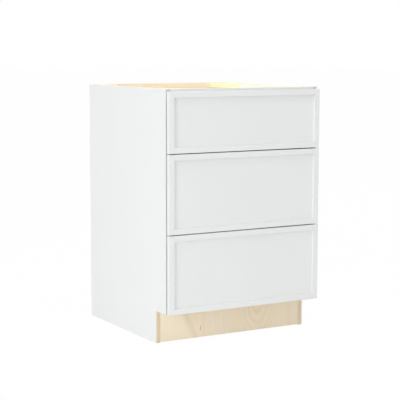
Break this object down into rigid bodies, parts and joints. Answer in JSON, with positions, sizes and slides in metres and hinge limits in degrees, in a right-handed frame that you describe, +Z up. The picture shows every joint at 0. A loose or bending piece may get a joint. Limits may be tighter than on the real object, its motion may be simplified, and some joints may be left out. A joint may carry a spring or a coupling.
{
  "type": "base cabinet with drawers",
  "caption": "White full-access kitchen base cabinet with sliding drawers, slim framed fronts, an open top and a recessed raw plywood toe board.",
  "frame": {"origin": "on the floor, half way between the faces of the drawer fronts and the back, in the middle of the width", "axes": "+Z up, -Y towards someone standing at the fronts, +X to their right"},
  "size_m": [0.6096, 0.6244, 0.8779],
  "materials": {
    "white_paint": "satin white paint over fibreboard and plywood",
    "maple_plywood": "clear-finished maple veneer on plywood",
    "raw_plywood": "bare maple plywood, unfinished",
    "solid_maple": "clear-finished solid maple",
    "zinc_steel": "zinc-plated sheet steel"
  },
  "bodies": {
    "cabinet": {"side_panel_left": "white_paint", "side_panel_right": "white_paint", "bottom_panel": "maple_plywood", "back_panel": "maple_plywood", "toe_kick_board": "raw_plywood", "top_rail_front": "maple_plywood", "corner_brace_front_left": "solid_maple", "corner_brace_front_right": "solid_maple", "corner_brace_back_left": "solid_maple", "corner_brace_back_right": "solid_maple", "hanging_rail_top": "raw_plywood", "hanging_rail_bottom": "raw_plywood", "top_runner_fixed_left": "zinc_steel", "top_runner_fixed_right": "zinc_steel", "middle_runner_fixed_left": "zinc_steel", "middle_runner_fixed_right": "zinc_steel", "bottom_runner_fixed_left": "zinc_steel", "bottom_runner_fixed_right": "zinc_steel"},
    "drawer_top": {"top_front_stile_left": "white_paint", "top_front_stile_right": "white_paint", "top_front_rail_top": "white_paint", "top_front_rail_bottom": "white_paint", "top_front_panel": "white_paint", "top_drawer_side_left": "solid_maple", "top_drawer_side_right": "solid_maple", "top_drawer_front_board": "solid_maple", "top_drawer_back_board": "solid_maple", "top_drawer_bottom": "maple_plywood", "top_runner_drawer_left": "zinc_steel", "top_runner_drawer_right": "zinc_steel"},
    "carriage_top": {"top_runner_carriage_left": "zinc_steel", "top_runner_carriage_right": "zinc_steel"},
    "drawer_middle": {"middle_front_stile_left": "white_paint", "middle_front_stile_right": "white_paint", "middle_front_rail_top": "white_paint", "middle_front_rail_bottom": "white_paint", "middle_front_panel": "white_paint", "middle_drawer_side_left": "solid_maple", "middle_drawer_side_right": "solid_maple", "middle_drawer_front_board": "solid_maple", "middle_drawer_back_board": "solid_maple", "middle_drawer_bottom": "maple_plywood", "middle_runner_drawer_left": "zinc_steel", "middle_runner_drawer_right": "zinc_steel"},
    "carriage_middle": {"middle_runner_carriage_left": "zinc_steel", "middle_runner_carriage_right": "zinc_steel"},
    "drawer_bottom": {"bottom_front_stile_left": "white_paint", "bottom_front_stile_right": "white_paint", "bottom_front_rail_top": "white_paint", "bottom_front_rail_bottom": "white_paint", "bottom_front_panel": "white_paint", "bottom_drawer_side_left": "solid_maple", "bottom_drawer_side_right": "solid_maple", "bottom_drawer_front_board": "solid_maple", "bottom_drawer_back_board": "solid_maple", "bottom_drawer_bottom": "maple_plywood", "bottom_runner_drawer_left": "zinc_steel", "bottom_runner_drawer_right": "zinc_steel"},
    "carriage_bottom": {"bottom_runner_carriage_left": "zinc_steel", "bottom_runner_carriage_right": "zinc_steel"}
  },
  "joints": [
    {"name": "drawer_top_slide", "type": "slide", "parent": "cabinet", "child": "drawer_top", "axis": [0, -1, 0], "range_m": [0, 0.508]},
    {"name": "carriage_top_slide", "type": "slide", "parent": "cabinet", "child": "carriage_top", "axis": [0, -1, 0], "range_m": [0, 0.254]},
    {"name": "drawer_middle_slide", "type": "slide", "parent": "cabinet", "child": "drawer_middle", "axis": [0, -1, 0], "range_m": [0, 0.508]},
    {"name": "carriage_middle_slide", "type": "slide", "parent": "cabinet", "child": "carriage_middle", "axis": [0, -1, 0], "range_m": [0, 0.254]},
    {"name": "drawer_bottom_slide", "type": "slide", "parent": "cabinet", "child": "drawer_bottom", "axis": [0, -1, 0], "range_m": [0, 0.508]},
    {"name": "carriage_bottom_slide", "type": "slide", "parent": "cabinet", "child": "carriage_bottom", "axis": [0, -1, 0], "range_m": [0, 0.254]}
  ],
  "couplings": [
    {"joint": "carriage_top_slide", "follows": "drawer_top_slide", "ratio": 0.5},
    {"joint": "carriage_middle_slide", "follows": "drawer_middle_slide", "ratio": 0.5},
    {"joint": "carriage_bottom_slide", "follows": "drawer_bottom_slide", "ratio": 0.5}
  ]
}
